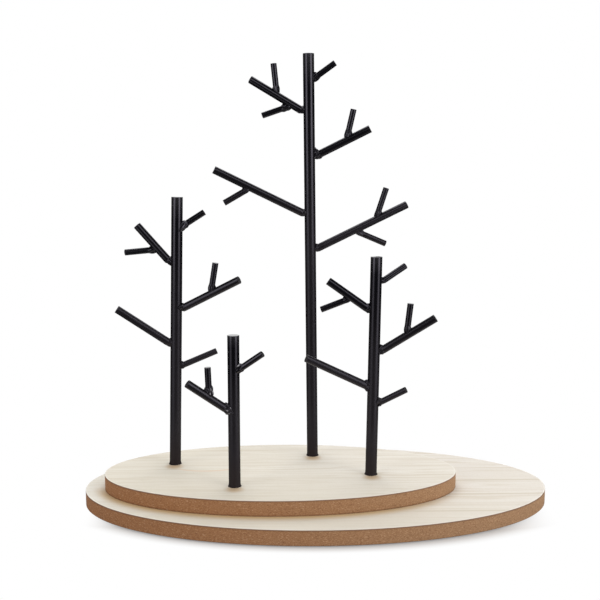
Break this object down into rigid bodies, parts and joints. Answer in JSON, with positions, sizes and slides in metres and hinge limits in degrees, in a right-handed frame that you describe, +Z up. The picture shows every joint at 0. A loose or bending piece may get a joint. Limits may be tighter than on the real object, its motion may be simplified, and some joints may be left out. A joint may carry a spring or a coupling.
{
  "type": "jewelry holder",
  "caption": "Jewelry stand: black welded steel-bar trees with forked branches for hanging necklaces, bracelets and rings, standing on two stacked, offset oval veneered boards.",
  "frame": {"origin": "on the standing surface, below the lower board's centre", "axes": "+X to the right along the boards' length, +Y to the back, +Z up along the trunks"},
  "size_m": [0.325, 0.175, 0.3142],
  "materials": {
    "fibreboard": "bare sawn fibreboard edge, fine speckle, matt",
    "veneer": "pale straight-grained wood veneer, matt lacquer",
    "black_paint": "satin black paint over welded steel",
    "zinc_steel": "bright zinc plate",
    "pad_foam": "matt foam rubber"
  },
  "bodies": {
    "root": {"foot_pads": "pad_foam", "left_lower_left_branch": "black_paint", "left_lower_right_branch": "black_paint", "left_middle_right_branch": "black_paint", "left_middle_right_rising_twig": "black_paint", "left_top_right_branch": "black_paint", "left_trunk": "black_paint", "left_upper_left_branch": "black_paint", "left_upper_left_drooping_twig": "black_paint", "lower_board_core": "fibreboard", "lower_board_veneer": "veneer", "right_lower_left_branch": "black_paint", "right_lower_right_branch": "black_paint", "right_middle_right_branch": "black_paint", "right_middle_right_rising_twig": "black_paint", "right_top_right_branch": "black_paint", "right_trunk": "black_paint", "right_upper_left_branch": "black_paint", "right_upper_left_drooping_twig": "black_paint", "small_lower_left_branch": "black_paint", "small_lower_left_rising_twig": "black_paint", "small_trunk": "black_paint", "small_upper_right_branch": "black_paint", "tall_lower_left_branch": "black_paint", "tall_lower_left_drooping_twig": "black_paint", "tall_lower_right_branch": "black_paint", "tall_lower_right_drooping_twig": "black_paint", "tall_lower_right_rising_twig": "black_paint", "tall_middle_right_branch": "black_paint", "tall_middle_right_rising_twig": "black_paint", "tall_top_right_branch": "black_paint", "tall_trunk": "black_paint", "tall_upper_left_branch": "black_paint", "tall_upper_left_drooping_twig": "black_paint", "tall_upper_left_rising_twig": "black_paint", "trunk_screws": "zinc_steel", "upper_board_core": "fibreboard", "upper_board_veneer": "veneer"}
  },
  "joints": []
}
